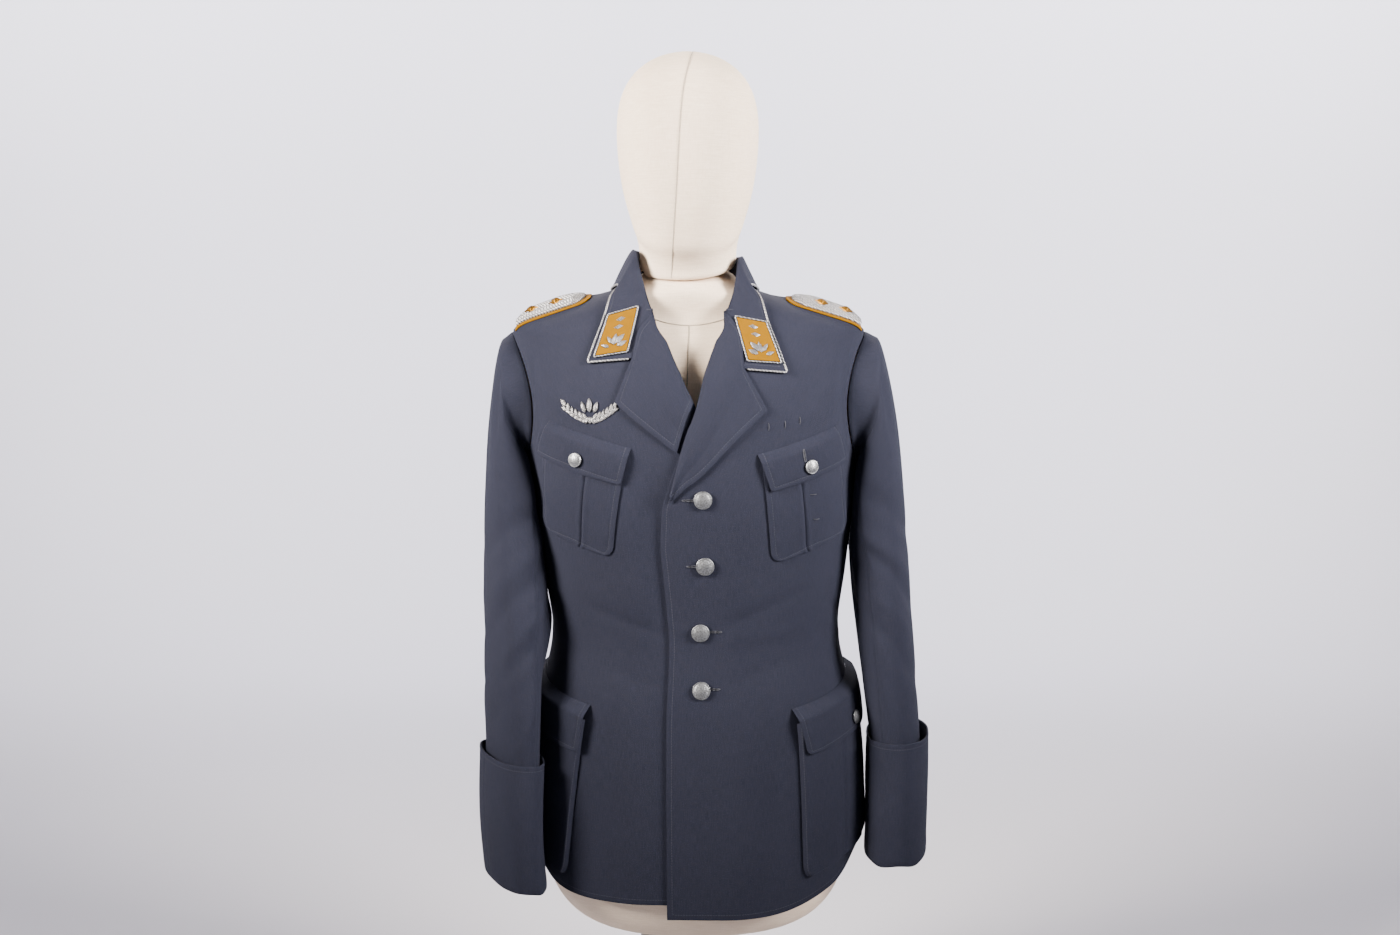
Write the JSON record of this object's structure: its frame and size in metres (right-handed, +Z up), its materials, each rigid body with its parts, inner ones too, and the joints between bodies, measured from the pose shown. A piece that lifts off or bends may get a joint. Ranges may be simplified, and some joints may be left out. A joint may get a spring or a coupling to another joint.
{
  "type": "dress tunic on a dress form",
  "caption": "Blue-grey buttoned dress tunic with flap pockets, corded collar tabs and turned-back cuffs, worn by a limbless linen dress form with a head on a metal stand.",
  "frame": {"origin": "centre of the underside of the stand's base, under the middle of the dress form", "axes": "+Z up, the front of the tunic faces -Y, and the wearer's left side is at +X"},
  "size_m": [0.5277, 0.31, 1.208],
  "materials": {
    "tunic_cloth": "matt worsted twill, blue-grey",
    "form_linen": "cream linen stretched over a smooth form",
    "stand_metal": "brushed, slightly warm grey",
    "yellow_felt": "dense golden-yellow felt",
    "silver_cord": "twisted matt silver-coloured metal thread",
    "gold_metal": "gilt, slightly worn",
    "button_metal": "pebbled matt grey"
  },
  "bodies": {
    "root": {"stand_base": "stand_metal", "stand_pole": "stand_metal", "form_torso": "form_linen", "form_head": "form_linen", "left_front": "tunic_cloth", "left_back": "tunic_cloth", "left_top_sleeve": "tunic_cloth", "left_under_sleeve": "tunic_cloth", "left_cuff": "tunic_cloth", "left_lapel": "tunic_cloth", "left_breast_pocket": "tunic_cloth", "left_breast_flap": "tunic_cloth", "left_skirt_pocket": "tunic_cloth", "left_skirt_flap": "tunic_cloth", "left_tab": "yellow_felt", "left_tab_cord": "silver_cord", "left_board_underlay": "yellow_felt", "left_board_cords": "silver_cord", "left_board_pip_1": "gold_metal", "left_board_pip_2": "gold_metal", "left_breast_button": "button_metal", "left_skirt_button": "button_metal", "right_front": "tunic_cloth", "right_back": "tunic_cloth", "right_top_sleeve": "tunic_cloth", "right_under_sleeve": "tunic_cloth", "right_cuff": "tunic_cloth", "right_lapel": "tunic_cloth", "right_breast_pocket": "tunic_cloth", "right_breast_flap": "tunic_cloth", "right_skirt_pocket": "tunic_cloth", "right_skirt_flap": "tunic_cloth", "right_top_sleeve_forearm": "tunic_cloth", "right_tab": "yellow_felt", "right_tab_cord": "silver_cord", "right_board_underlay": "yellow_felt", "right_board_cords": "silver_cord", "right_board_pip_1": "gold_metal", "right_board_pip_2": "gold_metal", "right_breast_button": "button_metal", "right_skirt_button": "button_metal", "collar_stand": "tunic_cloth", "collar_fall": "tunic_cloth", "collar_piping": "silver_cord", "breast_spray": "silver_cord", "front_button_1": "button_metal", "front_button_2": "button_metal", "front_button_3": "button_metal", "front_button_4": "button_metal"}
  },
  "joints": []
}
